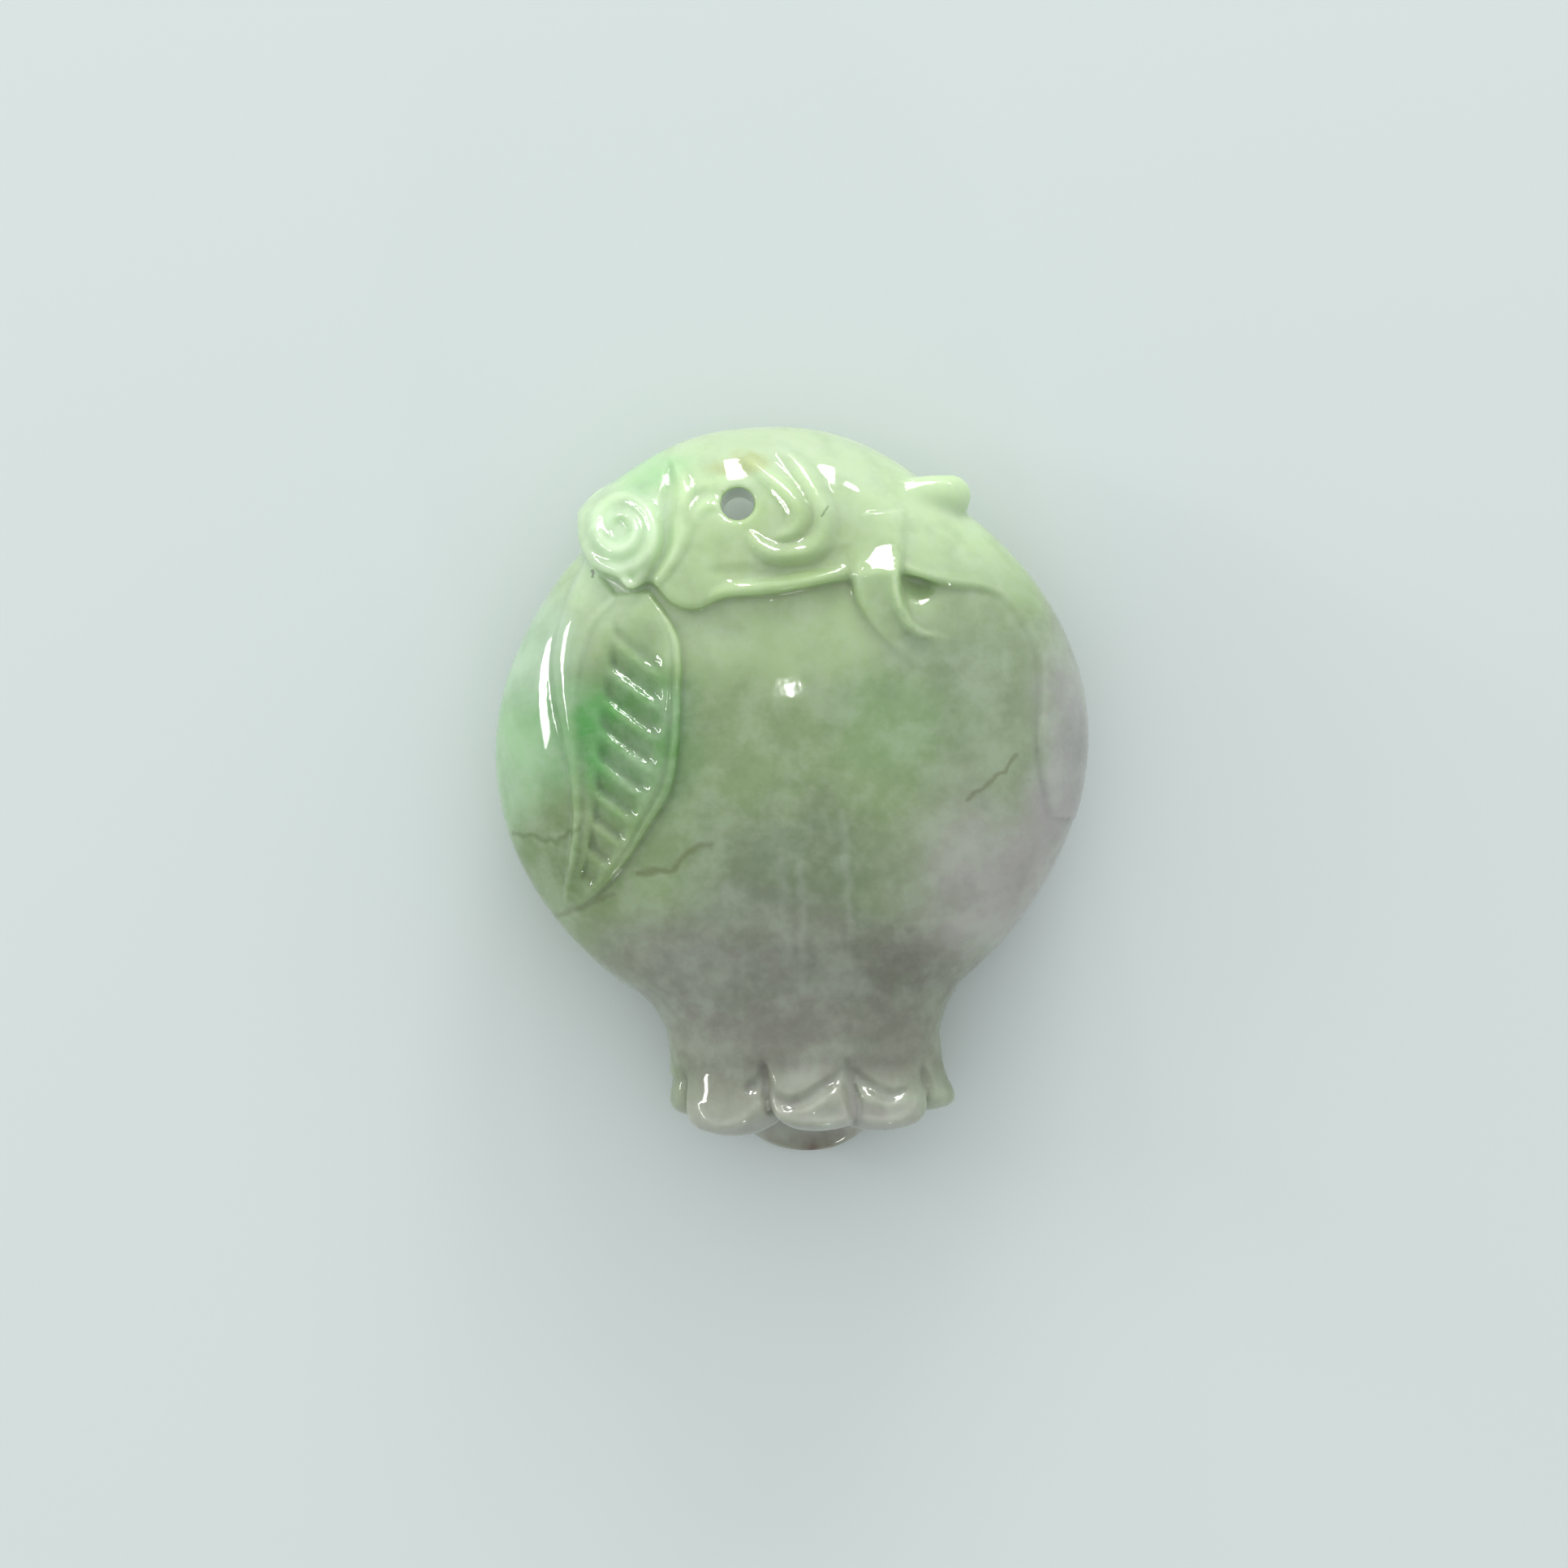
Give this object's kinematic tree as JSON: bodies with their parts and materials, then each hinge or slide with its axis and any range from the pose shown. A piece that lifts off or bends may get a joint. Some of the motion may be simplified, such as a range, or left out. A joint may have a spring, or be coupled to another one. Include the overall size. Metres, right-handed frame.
{
  "type": "carved pendant",
  "caption": "Round jadeite pendant carved as a money bag with a gathered petal mouth, a leaf and a scrolled cap, drilled for a cord.",
  "frame": {"origin": "middle of the part as seen from above, at the surface it lies on", "axes": "the part lies on its back: +Z out of the carved front, +Y along its length to the drilled end, +X to the right as seen from the front"},
  "size_m": [0.0348, 0.0428, 0.0125],
  "materials": {
    "jadeite": "polished"
  },
  "bodies": {
    "root": {"jadeite_pendant": "jadeite"}
  },
  "joints": []
}
